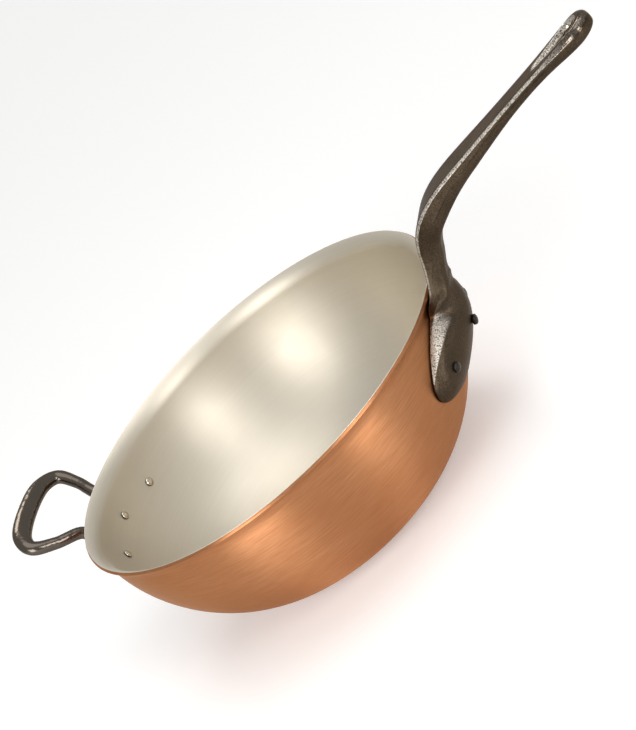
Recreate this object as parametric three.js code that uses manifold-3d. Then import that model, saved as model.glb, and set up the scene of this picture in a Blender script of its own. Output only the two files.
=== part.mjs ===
// A deep round-bottomed wok of bimetal sheet: copper outside with a thin stainless steel lining,
// a flared pouring lip, a long cast-iron handle with a hanging hole and a cast-iron helper handle
// on the far side, each handle held by three rivets.
// Millimetres, +Z up. The origin is the middle of the flat base, and the long handle points to +X.
import * as THREE from 'three';
import { mergeVertices } from 'three/addons/utils/BufferGeometryUtils.js';
import Module from 'manifold-3d';

const wasm = await Module();
wasm.setup();

// Bowl
const bowlHeight = 111; // from the table to the top of the lip
const lipDiameter = 300; // outside, over the flared lip
const baseDiameter = 116; // the flat that the pan stands on
const copperThickness = 2; // outer sheet
const liningThickness = 0.4; // inner sheet
const bondGap = 0.03; // between the two sheets
const lipFlare = 55; // degrees that the lip turns out from upright
const lipBend = 12; // radius under the lip, on the copper
const wallFullness = 1.87; // 2 makes the wall an ellipse, less makes it straighter

// Rivets
const shankDiameter = 4;
const rivetHeadDiameter = 6; // round head inside the bowl
const rivetHeadHeight = 1.6;
const rivetTailDiameter = 7; // closed end on the outside of a handle
const rivetTailHeight = 3;
const rivetTailRim = 1.5; // upright rim of a tail, under its dome
const spotFaceDepth = 0.7; // how far a tail's seat is cut into the casting
const seatGap = 0.3; // between a piece and what it seats on or passes through

// Long handle, heights counted up from the top of the lip
const handleReach = 187.8; // tip, beyond the lip
const handleRise = 93.8;
const lipClearance = 1.6; // between the lip's edge and the root
const bendStartReach = 11; // where the root begins to bend over
const bendStartRise = 22;
const bendEndReach = 70; // where the straight run begins
const bendEndRise = 61.5;
const bendPull = 27; // how far the bend follows each of its straight ends
const rootThickness = 17.5; // at the neck, under the lip
const lipThickness = 13.8; // where the root crosses the lip
const rootEndThickness = 15.8; // where the root begins to bend over
const stemThickness = 17.8; // in the bend
const runThickness = 12.5; // where the straight run begins
const waistThickness = 8.3; // slimmest place of the run
const stemEdgeShare = 0.85; // thickness of the stem's borders, as a share of its middle
const rootWidth = 26; // where the root crosses the lip
const stemWidth = 28; // in the bend
const waistWidth = 21.5;
const ringWidth = 26.5; // round end
const ringThickness = 11;
const ringWall = 9.5; // between the hanging hole and the tip
const noseShare = 0.5; // thickness of the tip, as a share of the round end
const holeWidth = 13; // round part of the hanging hole
const holeLength = 35; // from its round end to its point
const handleBevel = 1.6;

// Foot of the long handle, depths counted down from the top of the lip
const footTop = 10.8; // where the shoulders would meet the root
const footWidest = 39;
const footBottom = 62;
const footHalfWidth = 57.3; // round the wall
const footCrown = 12.6; // thickness in the middle
const footEdge = 3; // thickness at its border
const shoulderCurve = 1.6; // 1 makes the shoulders straight, 2 makes them round
const heelCurve = 2.5; // 2 makes the heel an ellipse, more makes it squarer
const facetSlope = 1.38; // rise of the facet along the border of the widest part, per millimetre
const shoulderSlope = 0.65; // and along the shoulders
const shoulderEnd = 20; // depth where the shoulders' slope begins to steepen
const facetShare = 0.65; // share of a section's crown that the facet climbs, before the swell
const facetTurn = 4; // more makes the turn from facet to swell sharper
const footRivetSpread = 39.8; // from the middle rivet round the wall to its neighbours
const footRivetDepth = 36.2;
const footMiddleRivetDepth = 34.5;

// Helper handle, its foot in depths and its loop in heights from the top of the lip
const helperFootDrop = 1.2; // from the neck under the lip down to the foot
const helperFootBottom = 47;
const helperFootHalfWidth = 54;
const helperFootCrown = 6;
const helperFootEdge = 3;
const helperFootCurve = 2.5; // 2 makes the foot an ellipse, more makes it squarer
const helperRivetSpread = 40.5;
const helperRivetDepth = 34;
const helperMiddleRivetDepth = 27;
const loopReach = 46.1; // middle of the bar, beyond the lip
const loopRise = 15.2;
const loopRootDepth = 19.6; // where the legs leave the foot
const loopRootSpan = 44.4; // between the middles of the legs, at the foot
const loopBarSpan = 78; // and at the bar
const legStraight = 0.28; // share of the way out where the legs begin to spread
const loopCorner = 0.79; // share of the way out where the loop is widest
const legSpread = 0.66; // share of the spread that the legs have halfway to the corners
const barBow = 0.06; // share of the way out that the middle of the bar bows beyond its ends
const barEnds = 0.75; // share of the bar's half span where its ends begin to turn
const legThickness = 8.5;
const barWidth = 14;
const barThickness = 10.5;

// Fineness of the facets
const bowlSegments = 60;
const wallSteps = 10;
const lipSteps = 3;
const rivetSegments = 12;
const rivetSteps = 3;
const sectionSteps = 10;
const loopSteps = 40;
const loopSides = 10;

const radians = THREE.MathUtils.degToRad;
const mix = THREE.MathUtils.lerp;
const ease = THREE.MathUtils.smoothstep;

// Equal steps from one value to another, without the first.
function steps(from, to, count) {
  return Array.from({ length: count }, (_, i) => mix(from, to, (i + 1) / count));
}

// Solids and cuts

// A closed geometry as a solid that can be joined and cut.
function solidOf(geometry, placing = new THREE.Matrix4()) {
  const bare = new THREE.BufferGeometry();
  bare.setAttribute('position', geometry.getAttribute('position').clone());
  bare.setIndex(geometry.getIndex());
  const merged = mergeVertices(bare.applyMatrix4(placing));
  const corners = merged.getIndex().array;
  const kept = [];
  for (let i = 0; i < corners.length; i += 3) {
    const [a, b, c] = corners.subarray(i, i + 3);
    if (a !== b && b !== c && c !== a) kept.push(a, b, c);
  }
  return new wasm.Manifold(new wasm.Mesh({
    numProp: 3,
    vertProperties: merged.getAttribute('position').array,
    triVerts: new Uint32Array(kept),
  }));
}

function geometryOf(solid) {
  const skin = solid.getMesh();
  const geometry = new THREE.BufferGeometry();
  geometry.setAttribute('position', new THREE.Float32BufferAttribute(skin.vertProperties, 3));
  geometry.setIndex(new THREE.Uint32BufferAttribute(skin.triVerts, 1));
  geometry.computeVertexNormals();
  return geometry;
}

// A profile of (radius, height) turned round +Z.
function turned(profile, segments) {
  const points = profile.map(([radius, height]) => new THREE.Vector2(radius, height));
  return new THREE.LatheGeometry(points, segments).rotateX(Math.PI / 2);
}

// A closed skin over a row of sections that all have the same number of points.
function lofted(sections) {
  const around = sections[0].length;
  const points = sections.flat();
  const corners = [];
  for (let i = 0; i + 1 < sections.length; i += 1) {
    for (let j = 0; j < around; j += 1) {
      const here = i * around + j;
      const beside = i * around + ((j + 1) % around);
      corners.push(here, here + around, beside, beside, here + around, beside + around);
    }
  }
  for (const [row, turn] of [[0, 1], [sections.length - 1, -1]]) {
    const ring = sections[row];
    const middle = ring.reduce((sum, p) => sum.add(p), new THREE.Vector3()).divideScalar(around);
    points.push(middle);
    for (let j = 0; j < around; j += 1) {
      const edge = [row * around + j, row * around + ((j + 1) % around)];
      if (turn < 0) edge.reverse();
      corners.push(points.length - 1, ...edge);
    }
  }
  const numbers = points.flatMap((p) => p.toArray());
  const geometry = new THREE.BufferGeometry();
  geometry.setAttribute('position', new THREE.Float32BufferAttribute(numbers, 3));
  geometry.setIndex(corners);
  return geometry;
}

// Bowl wall

const sheetThickness = copperThickness + bondGap + liningThickness;
const lipRadius = lipDiameter / 2;
const baseRadius = baseDiameter / 2;
const flare = radians(lipFlare);
const neckRadius = lipRadius - lipBend * (1 - Math.cos(flare));
const neckDepth = (lipBend + sheetThickness) * Math.sin(flare);
const wallHeight = bowlHeight - neckDepth;
const facetSag = lipRadius * (1 - Math.cos(Math.PI / bowlSegments)); // facets cut inside the round wall

// The point of the copper's outside at a share of the wall's height below the neck, with its
// outward normal: a superellipse quarter from the neck to the base.
function wallAt(share) {
  const out = (1 - share ** wallFullness) ** (1 / wallFullness);
  const normal = new THREE.Vector2(
    out ** (wallFullness - 1) / (neckRadius - baseRadius),
    -(share ** (wallFullness - 1)) / wallHeight,
  ).normalize();
  return { radius: mix(baseRadius, neckRadius, out), height: wallHeight * (1 - share), normal };
}

function wallAtDepth(depth) {
  return wallAt((depth - neckDepth) / wallHeight);
}

// The sheet's surface at a distance inside the copper's outer face, from the axis to the lip.
function sheetSurface(inside) {
  const profile = [[0, inside]];
  for (let i = wallSteps; i >= 0; i -= 1) {
    const turn = (i / wallSteps) * (Math.PI / 2);
    const { radius, height, normal } = wallAt(Math.sin(turn) ** (2 / wallFullness));
    profile.push([radius - inside * normal.x, height - inside * normal.y]);
  }
  const bend = lipBend + inside;
  for (const turn of steps(0, flare, lipSteps)) {
    profile.push([neckRadius + lipBend - bend * Math.cos(turn), wallHeight + bend * Math.sin(turn)]);
  }
  return profile;
}

function sheet(outerFace, innerFace) {
  return turned([...sheetSurface(outerFace), ...sheetSurface(innerFace).reverse()], bowlSegments);
}

// Rivets

// A place on the wall: an arc length round it from a handle's middle, and a depth below the lip.
// Its matrix carries +Z to the outward normal and the origin to the copper's outer face.
function wallPlace(facing, along, depth) {
  const { radius, height, normal } = wallAtDepth(depth);
  const angle = facing + along / radius;
  const round = new THREE.Vector3(Math.cos(angle), Math.sin(angle), 0);
  const outward = round.clone().multiplyScalar(normal.x).setZ(normal.y);
  const turn = new THREE.Quaternion().setFromUnitVectors(new THREE.Vector3(0, 0, 1), outward);
  const point = round.multiplyScalar(radius).setZ(height);
  return new THREE.Matrix4().compose(point, turn, new THREE.Vector3(1, 1, 1));
}

// A dome from its rim (end 1) to its top (end 0), or the other way: (radius, height) points.
function dome(radius, base, height, from, to) {
  return [from, ...steps(from, to, rivetSteps)].map((share) => {
    const turn = share * (Math.PI / 2);
    return [radius * Math.sin(turn), base + height * Math.cos(turn)];
  });
}

// A round head seated on the lining, a shank and a low domed tail seated on the handle's foot.
function rivetGeometry(seat) {
  const headSeat = -sheetThickness - seatGap - facetSag;
  const tailSeat = seat + seatGap;
  const tailTop = tailSeat + rivetTailRim;
  const shankRadius = shankDiameter / 2;
  const tailRadius = rivetTailDiameter / 2;
  const profile = dome(rivetHeadDiameter / 2, headSeat, -rivetHeadHeight, 0, 1);
  profile.push([shankRadius, headSeat], [shankRadius, tailSeat], [tailRadius, tailSeat]);
  profile.push(...dome(tailRadius, tailTop, rivetTailHeight - rivetTailRim, 1, 0));
  return turned(profile, rivetSegments);
}

// The cut that lets a rivet through: a bore past both sheets, and a spot face over the tail's seat.
function rivetCut(seat) {
  const near = -2 * sheetThickness;
  const far = rootThickness + rivetTailHeight;
  const bore = shankDiameter / 2 + seatGap;
  const face = rivetTailDiameter / 2 + seatGap;
  const profile = [[0, near], [bore, near], [bore, seat], [face, seat], [face, far], [0, far]];
  return turned(profile, rivetSegments);
}

// Castings

// A value that passes smoothly through named ones at given places.
function through(keys, at) {
  const next = keys.findIndex(([place]) => place >= at);
  if (next <= 0) return keys[next < 0 ? keys.length - 1 : 0][1];
  const [[from, before], [to, after]] = [keys[next - 1], keys[next]];
  return mix(before, after, ease(at, from, to));
}

// A section point: y runs across and n outwards from the inner line at (x, z), which leans in the
// XZ plane. Curl bends the section round the bowl.
function sectionPoint({ x, z, lean, curl }, y, n) {
  const across = curl ? (1 / curl + n) * Math.sin(curl * y) : y;
  const out = curl ? (1 / curl + n) * Math.cos(curl * y) - 1 / curl : n;
  return new THREE.Vector3(x + out * Math.cos(lean), across, z + out * Math.sin(lean));
}

// Thickness of a section at a share of its half width: a sloping facet along the border, then a
// gentle swell to the middle.
function sectionThickness({ half, mid, edge, slope }, share) {
  const climb = (half * (1 - Math.abs(share)) * slope) / ((mid - edge) * facetShare + 0.01);
  const facet = climb / (1 + climb ** facetTurn) ** (1 / facetTurn);
  return edge + (mid - edge) * mix(1 - share ** 2, facet, facetShare);
}

// A section with a plain inner side, a crowned outer side and a bevel along each border.
function crownedSection(station) {
  const { half, edge, sink = 0 } = station;
  const bevel = Math.min(handleBevel, half / 3, edge / 3);
  const point = (y, n) => sectionPoint(station, y, sink + n);
  const shares = [-90, ...steps(-90, 90, sectionSteps)].map((turn) => Math.sin(radians(turn)));
  const inner = shares.map((share) => point(share * (half - bevel), 0));
  const outer = shares.map((share) => point(share * (half - bevel), sectionThickness(station, share)));
  const right = [bevel, edge - bevel].map((n) => point(half, n));
  const left = [edge - bevel, bevel].map((n) => point(-half, n));
  return [...inner, ...right, ...outer.reverse(), ...left];
}

// A quarter of a superellipse: 1 at share 0, falling to 0 at share 1.
function quarter(share, power) {
  return (1 - share ** power) ** (1 / power);
}

// A station of a foot that lies on the wall at a depth.
function footOnWall(depth, half, mid, edge) {
  const radius = wallAtDepth(Math.max(depth, neckDepth)).radius + seatGap;
  const slope = mix(shoulderSlope, facetSlope, ease(depth, shoulderEnd, footWidest));
  return { x: radius, z: bowlHeight - depth, lean: 0, curl: 1 / radius, half, mid, edge, slope };
}

// The long handle's foot: sloping shoulders, a rounded heel and a crown that rises to the root.
function longFootStation(depth) {
  const drop = Math.max(0, (depth - footWidest) / (footBottom - footWidest));
  const climb = Math.max(0, (footWidest - depth) / (footWidest - footTop));
  const root = Math.max(0, (footWidest - depth) / (footWidest - neckDepth));
  const shoulder = mix(rootWidth / 2, footHalfWidth, quarter(climb, shoulderCurve));
  const crown = mix(footCrown, footEdge, drop ** 2);
  const mid = mix(crown, rootThickness, root ** 2);
  return footOnWall(depth, shoulder * quarter(drop, heelCurve), mid, footEdge);
}

// The top line from the neck past the lip, round the bend and along the run, in (x, z).
function topLine() {
  const neck = longFootStation(neckDepth);
  const start = new THREE.Vector2(neck.x, neck.z);
  const lip = new THREE.Vector2(lipRadius + lipClearance, bowlHeight);
  const bendStart = new THREE.Vector2(lipRadius + bendStartReach, bowlHeight + bendStartRise);
  const bendEnd = new THREE.Vector2(lipRadius + bendEndReach, bowlHeight + bendEndRise);
  const tip = new THREE.Vector2(lipRadius + handleReach, bowlHeight + handleRise);
  const rise = bendStart.clone().sub(lip).setLength(bendPull).add(bendStart);
  const run = bendEnd.clone().sub(tip).setLength(bendPull).add(bendEnd);
  const line = new THREE.CurvePath();
  line.add(new THREE.LineCurve(start, lip));
  line.add(new THREE.LineCurve(lip, bendStart));
  line.add(new THREE.CubicBezierCurve(bendStart, rise, run, bendEnd));
  line.add(new THREE.LineCurve(bendEnd, tip));
  return line;
}

// Stations of the stem along the top line, from above the neck to the round nose.
function stemStations() {
  const line = topLine();
  const [lipCross, rootEnd, bendEnd, length] = line.getCurveLengths();
  const neck = longFootStation(neckDepth);
  const bendMiddle = (rootEnd + bendEnd) / 2;
  const ringMiddle = length - ringWidth / 2;
  const waist = length - ringWall - holeLength;
  const widths = [
    [0, 2 * neck.half],
    [lipCross, rootWidth],
    [bendMiddle, stemWidth],
    [waist, waistWidth],
    [ringMiddle, ringWidth],
  ];
  const middles = [
    [0, neck.mid],
    [lipCross, lipThickness],
    [rootEnd, rootEndThickness],
    [bendMiddle, stemThickness],
    [bendEnd, runThickness],
    [waist, waistThickness],
    [ringMiddle, ringThickness],
  ];
  const stops = [
    ...steps(0, rootEnd, 4),
    ...steps(rootEnd, bendEnd, 7),
    ...steps(bendEnd, ringMiddle, 6),
    ...steps(0, radians(82), 4).map((turn) => mix(ringMiddle, length, Math.sin(turn))),
  ];
  return stops.map((at) => {
    const point = line.getPointAt(at / length);
    const tangent = line.getTangentAt(at / length);
    const leave = ease(at, 0, rootEnd);
    const round = quarter(Math.max(0, (at - ringMiddle) / (length - ringMiddle)), 2);
    const kept = mix(noseShare, 1, round);
    const mid = through(middles, at);
    const lift = ease(at, waist, ringMiddle) * (ringThickness - waistThickness);
    return {
      x: point.x,
      z: point.y,
      lean: leave * (Math.atan2(tangent.y, tangent.x) - Math.PI / 2),
      curl: neck.curl * (1 - leave),
      half: (through(widths, at) / 2) * round,
      mid: mid * kept,
      edge: mix(neck.edge, mid * stemEdgeShare, ease(at, 0, rootEnd)) * kept,
      slope: shoulderSlope,
      sink: (mid * (1 - kept)) / 2 - lift / 4,
    };
  });
}

function longHandle() {
  const heel = [radians(80), ...steps(radians(80), 0, 4)].map((turn) => {
    const share = Math.sin(turn) ** (2 / heelCurve);
    return longFootStation(mix(footWidest, footBottom, share));
  });
  const shoulders = steps(footWidest, neckDepth, 5).map(longFootStation);
  return lofted([...heel, ...shoulders, ...stemStations()].map(crownedSection));
}

// A teardrop through the round end, with its point towards the pan.
function hangingHole() {
  const line = topLine();
  const tip = line.getPointAt(1);
  const tangent = line.getTangentAt(1);
  const radius = holeWidth / 2;
  const point = holeLength - radius;
  const touch = Math.acos(radius / point);
  const drop = new THREE.Shape();
  drop.moveTo(-point, 0);
  drop.lineTo(-radius * Math.cos(touch), -radius * Math.sin(touch));
  drop.absarc(0, 0, radius, touch - Math.PI, Math.PI - touch, false);
  drop.closePath();
  const cut = new THREE.ExtrudeGeometry(drop, {
    depth: 4 * ringThickness,
    bevelEnabled: false,
    curveSegments: 8,
  });
  cut.translate(-ringWall - radius, 0, -2 * ringThickness);
  cut.rotateY(-Math.atan2(tangent.y, tangent.x));
  return cut.translate(tip.x, 0, tip.y);
}

const helperFootTop = neckDepth + helperFootDrop;

// The helper handle's foot, modelled towards +X: a crowned oval on the wall.
function helperFootStation(depth) {
  const middle = (helperFootTop + helperFootBottom) / 2;
  const away = Math.abs(depth - middle) / (helperFootBottom - middle);
  const half = helperFootHalfWidth * quarter(away, helperFootCurve);
  return footOnWall(depth, half, mix(helperFootCrown, helperFootEdge, away ** 2), helperFootEdge);
}

function helperFoot() {
  const sections = [radians(-80), ...steps(radians(-80), radians(80), 8)].map((turn) => {
    const share = (Math.sin(turn) + 1) / 2;
    return crownedSection(helperFootStation(mix(helperFootBottom, helperFootTop, share)));
  });
  return lofted(sections);
}

// The loop's middle line: straight out of the foot, spreading to the corners and along the bar.
function loopLine() {
  const root = wallAtDepth(loopRootDepth).radius + seatGap + helperFootEdge / 2;
  const rootHeight = bowlHeight - loopRootDepth;
  const rootHalf = loopRootSpan / 2;
  const barHalf = loopBarSpan / 2;
  const place = (share, half) => new THREE.Vector3(
    mix(root, lipRadius + loopReach, share),
    half,
    mix(rootHeight, bowlHeight + loopRise, share),
  );
  const side = [
    new THREE.Vector3(root, rootHalf, rootHeight),
    new THREE.Vector3(root + legThickness, rootHalf, rootHeight + legThickness / 3),
    place(legStraight, rootHalf),
    place(mix(legStraight, loopCorner, 0.5), mix(rootHalf, barHalf, legSpread)),
    place(loopCorner, barHalf),
    place(1 - barBow, barHalf * barEnds),
  ];
  const back = side.map((p) => new THREE.Vector3(p.x, -p.y, p.z)).reverse();
  return new THREE.CatmullRomCurve3([...side, place(1, 0), ...back], false, 'centripetal');
}

// The helper handle's loop: a tube whose oval section is widest in the bar.
function helperLoop() {
  const line = loopLine();
  const slope = line.getPointAt(0.5).sub(line.getPointAt(0)).setY(0);
  const lift = slope.cross(new THREE.Vector3(0, -1, 0)).normalize();
  const sections = [0, ...steps(0, 1, loopSteps)].map((at) => {
    const tangent = line.getTangentAt(at);
    const beside = tangent.clone().cross(lift).normalize();
    const up = beside.clone().cross(tangent);
    const inBar = ease(1 - Math.abs(2 * at - 1), legStraight, loopCorner);
    beside.multiplyScalar(mix(legThickness, barWidth, inBar) / 2);
    up.multiplyScalar(mix(legThickness, barThickness, inBar) / 2);
    return steps(0, 2 * Math.PI, loopSides).map((turn) => line.getPointAt(at)
      .addScaledVector(beside, Math.cos(turn))
      .addScaledVector(up, Math.sin(turn)));
  });
  return lofted(sections);
}

// Assembly

const finishes = {
  copper: new THREE.MeshStandardMaterial({ color: '#b87245', roughness: 0.35, metalness: 1 }),
  steel: new THREE.MeshStandardMaterial({ color: '#c4bcab', roughness: 0.35, metalness: 1 }),
  iron: new THREE.MeshStandardMaterial({ color: '#4b4136', roughness: 0.55, metalness: 0.8 }),
};

function piece(name, geometry, finish) {
  const mesh = new THREE.Mesh(geometry, finishes[finish]);
  mesh.name = name;
  return mesh;
}

// The three rivets of a handle: their places on the wall and how high the foot seats their tails.
function rivetRow(facing, footStation, spread, sideDepth, middleDepth) {
  const places = [
    ['left', spread, sideDepth],
    ['middle', 0, middleDepth],
    ['right', -spread, sideDepth],
  ];
  return places.map(([side, along, depth]) => {
    const station = footStation(depth);
    const seat = seatGap + sectionThickness(station, along / station.half) - spotFaceDepth;
    return { side, placing: wallPlace(facing, along, depth), seat };
  });
}

function drilled(solid, rivets) {
  return rivets.reduce((rest, { placing, seat }) => rest.subtract(solidOf(rivetCut(seat), placing)), solid);
}

const longRivets = rivetRow(0, longFootStation, footRivetSpread, footRivetDepth, footMiddleRivetDepth);
const helperRivets = rivetRow(
  Math.PI,
  helperFootStation,
  helperRivetSpread,
  helperRivetDepth,
  helperMiddleRivetDepth,
);
const allRivets = [...longRivets, ...helperRivets];
const halfTurn = new THREE.Matrix4().makeRotationZ(Math.PI);

const shellSolid = drilled(solidOf(sheet(0, copperThickness)), allRivets);
const liningSolid = drilled(solidOf(sheet(copperThickness + bondGap, sheetThickness)), allRivets);
const longSolid = drilled(solidOf(longHandle()), longRivets).subtract(solidOf(hangingHole()));
const helperCasting = solidOf(helperFoot(), halfTurn).add(solidOf(helperLoop(), halfTurn));
const helperSolid = drilled(helperCasting, helperRivets);

const wok = new THREE.Group();
wok.add(piece('copper_shell', geometryOf(shellSolid), 'copper'));
wok.add(piece('steel_lining', geometryOf(liningSolid), 'steel'));
wok.add(piece('long_handle', geometryOf(longSolid), 'iron'));
wok.add(piece('helper_handle', geometryOf(helperSolid), 'iron'));
for (const [handle, rivets] of [['long_handle', longRivets], ['helper_handle', helperRivets]]) {
  for (const { side, placing, seat } of rivets) {
    const rivet = piece(`${handle}_rivet_${side}`, rivetGeometry(seat), 'steel');
    placing.decompose(rivet.position, rivet.quaternion, rivet.scale);
    wok.add(rivet);
  }
}

export default wok;
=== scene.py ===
"""Looks of a copper wok with two cast-iron handles: fine surfaces over the CAD frame, finishes and a studio.

Shapes are worked out in millimetres and scaled to metres when a mesh is made. The origin is the middle
of the base's underside, +Z is up and +X runs along the long handle.
"""
import math

import bmesh
import bpy
import numpy as np
from mathutils import Matrix, Vector


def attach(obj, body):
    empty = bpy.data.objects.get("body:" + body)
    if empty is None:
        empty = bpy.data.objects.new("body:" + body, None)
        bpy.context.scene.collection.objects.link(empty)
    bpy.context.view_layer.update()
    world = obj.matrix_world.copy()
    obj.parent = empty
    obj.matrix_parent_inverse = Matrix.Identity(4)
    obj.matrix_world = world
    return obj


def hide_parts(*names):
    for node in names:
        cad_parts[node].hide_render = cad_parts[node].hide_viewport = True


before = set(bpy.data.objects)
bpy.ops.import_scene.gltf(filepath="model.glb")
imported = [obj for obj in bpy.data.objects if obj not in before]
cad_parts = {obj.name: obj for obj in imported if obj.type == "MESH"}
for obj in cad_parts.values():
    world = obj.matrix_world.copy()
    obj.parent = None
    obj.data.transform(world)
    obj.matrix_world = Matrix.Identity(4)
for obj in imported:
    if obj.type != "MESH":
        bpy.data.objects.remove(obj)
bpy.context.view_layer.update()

MM = 0.001
# Points nearer than this, in metres, become one
WELD = 2e-6

# Points along and round the meshes
BOWL_TURN = 256
BASE_STEPS = 19
WALL_STEPS = 72
LIP_STEPS = 26
EDGE_STEPS = 15
INSIDE_POINTS = 61
OUTSIDE_POINTS = 161
BORDER_FINENESS = 4
HEEL_STEPS = 60
SHOULDER_STEPS = 56
ROOT_POINTS = 40
BEND_POINTS = 120
# Root, bend, run and nose
STEM_STEPS = (40, 70, 60, 40)
HOLE_TURN = 65
HOLE_SLOPE = 33
HOLE_FLARE = 10
HELPER_STEPS = 120
LOOP_POINTS = 1200
LOOP_STEPS = 260
LOOP_TURN = 48
RIVET_STEPS = 14
RIVET_TURN = 40

# Bowl; SHEET is the whole wall, with the thin gap BOND between copper and steel
LIP_RADIUS = 150.0
BOWL_HEIGHT = 111.0
BASE_RADIUS = 58.0
COPPER = 2.0
SHEET = 2.43
BOND = 0.03
FLARE = math.radians(55)
LIP_BEND = 12.0
WALL_FULLNESS = 1.87
EDGE_ROUND = 0.35
EDGE_FLATNESS = 0.5
NECK_RADIUS = LIP_RADIUS - LIP_BEND * (1 - math.cos(FLARE))
NECK_DEPTH = (LIP_BEND + SHEET) * math.sin(FLARE)
WALL_HEIGHT = BOWL_HEIGHT - NECK_DEPTH

# Castings
SEAT_GAP = 0.3
EDGE_LEAST = 0.4
SIDE_SHARES = (0.04, 0.1, 0.5, 0.9, 0.96)
ROUND_BEVEL = 2.0
# How pale metal fades in on worn bevels and on ground facets, partly as painted highlight
WORN_AND_SHEEN_FADE = (0.1, 0.5)
GROUND_AND_SHEEN_FADE = (0.7, 0.92)
GROUND_AND_SHEEN_LEAST = 1e-3
CURL_LEAST = 1e-6

# Long handle
FOOT_TOP = 10.8
FOOT_WIDEST = 39.0
FOOT_BOTTOM = 62.0
FOOT_HALF = 57.3
FOOT_EDGE = 2.5
FOOT_BEVEL = 0.6
FOOT_RIM = 1.6
SHOULDER_CURVE = 1.6
HEEL_CURVE = 2.5
FACET_SLOPE = 1.15
FACET_TURN = 5.0
ROOT_SLOPE = 1.7
# Depths below the lip over which the root's slope becomes the facets'
ROOT_DEPTHS = (10.0, 26.0)
# Distances above the neck over which the foot's thin border becomes the stem's side
EDGE_RISE = (-3.0, 8.0)
# The crown at some depths: its ridge, the wings beside it, and how far the ridge spreads
FORM_DEPTHS = (NECK_DEPTH, 20.0, 30.0, 40.0, 50.0, FOOT_BOTTOM)
RIDGE_HEIGHTS = (16.6, 17.9, 16.2, 12.9, 9.0, 3.2)
WING_HEIGHTS = (13.5, 10.0, 8.2, 10.0, 8.8, 3.2)
RIDGE_SPREADS = (20.0, 21.0, 28.0, 29.0, 28.0, 28.0)
# The ground facets, lightened partly as painted highlight: depths where they fade in and out, where they
# begin across, and how bare they are
GROUND_AND_SHEEN_DEPTHS = (10.5, 12.0, 18.0, 36.0)
GROUND_AND_SHEEN_ACROSS = (17.0, 22.0)
FACET_BARE_AND_SHEEN = 0.68
STEM_WING = 0.94
ROOT_WIDTH = 26.0
LIP_THICKNESS = 13.5
ROOT_END_THICKNESS = 15.0
ROOT_EDGE = 0.75
STEM_EDGE = 0.85
ROOT_RIM = 7.0
STEM_RIM = 5.0
STEM_BEVEL = 2.0
STEM_BEVEL_CURVE = 1.15
STEM_WIDTH = 28.0
STEM_THICKNESS = 16.5
RUN_THICKNESS = 12.5
WAIST_WIDTH = 21.5
WAIST_THICKNESS = 8.3
RING_WIDTH = 26.5
RING_THICKNESS = 11.0
RING_WALL = 9.5
RING_BEVEL = 4.0
RING_RIM = 4.5
RING_LIFT = (RING_THICKNESS - WAIST_THICKNESS) / 4
HOLE_WIDTH = 13.0
HOLE_LENGTH = 35.0
HOLE_ROUND = 3.4
# How pale the metal round the hanging hole is: bare cut metal, partly painted highlight
HOLE_BARE_AND_SHEEN = 0.9
HOLE_OVERRUN = 1.0
RING_POLISH = 0.85
# The top line, as (x, z), and how hard its curves are pulled
LIP_CROSS = (LIP_RADIUS + 1.6, BOWL_HEIGHT)
BEND_START = (LIP_RADIUS + 11.0, BOWL_HEIGHT + 22.0)
BEND_END = (LIP_RADIUS + 70.0, BOWL_HEIGHT + 61.5)
TIP = (LIP_RADIUS + 187.8, BOWL_HEIGHT + 93.8)
BEND_PULL = 27.0
NECK_PULL = 4.0
# Along X, where the polish begins and where it is full
RING_POLISH_REACH = (TIP[0] - 40, TIP[0] - 26)

# Helper handle
HELPER_TOP = NECK_DEPTH + 1.2
HELPER_BOTTOM = 47.0
HELPER_HALF = 54.0
HELPER_CROWN = 6.0
HELPER_EDGE = 3.0
HELPER_BEVEL = 0.4
HELPER_RIM = 2.0
HELPER_CURVE = 2.5
HELPER_FALL = 0.9
HELPER_WING = 0.5
LOOP_END = (LIP_RADIUS + 46.1, BOWL_HEIGHT + 15.2)
LOOP_ROOT_DEPTH = 19.6
LOOP_ROOT_HALF = 22.2
LOOP_BAR_HALF = 39.0
LEG = 8.5
BAR_WIDTH = 14.0
BAR_THICKNESS = 10.5
ROOT_FLARE = 1.3
ROOT_FLARE_REACH = 6.5
# Places along the loop as shares of its reach, and shares of its spread there
LEG_STRAIGHT = 0.28
LEG_SPREAD = (0.535, 0.66)
LOOP_CORNER = 0.79
BAR_TURN = (0.94, 0.75)
BAR_GROWTH = (0.34, 0.82)
# Along X, where the polish is full and where it ends
LOOP_POLISH_REACH = (-LIP_RADIUS - 6, -LIP_RADIUS - 1)

# Rivets
SHANK_RADIUS = 2.0
HEAD_RADIUS = 3.2
HEAD_HEIGHT = 1.7
HEAD_FULLNESS = 2.7
# How high the dark finish climbs the head's rim, as painted shade where the head meets the lining
HEAD_SHADE_RIM = 0.8
TAIL_RADIUS = 3.5
TAIL_RIM = 1.5
TAIL_HEIGHT = 3.0
TAIL_SINK = 0.8
FAR_TAIL_SINK = 2.4
# Each rivet's name, distance along the wall from the middle, depth below the lip, and sink of its tail
LONG_RIVETS = (
    ("left", 39.8, 36.2, FAR_TAIL_SINK), ("middle", 0.0, 34.5, TAIL_SINK), ("right", -39.8, 36.2, TAIL_SINK))
HELPER_RIVETS = (
    ("left", 40.5, 34.0, TAIL_SINK), ("middle", 0.0, 27.0, TAIL_SINK), ("right", -40.5, 34.0, TAIL_SINK))

# Finishes; nearly all the values of a noise lie in NOISE_SPAN
NOISE_SPAN = (0.3, 0.7)
QUARTER_TURN = 0.25
RING_SMOOTHED = 0.34
LOOP_SMOOTHED = 0.48
# How far the loop's colour goes to a lighter grey: polished metal, partly painted highlight on the bar
LOOP_SILVER_AND_SHEEN = 0.7

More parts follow.
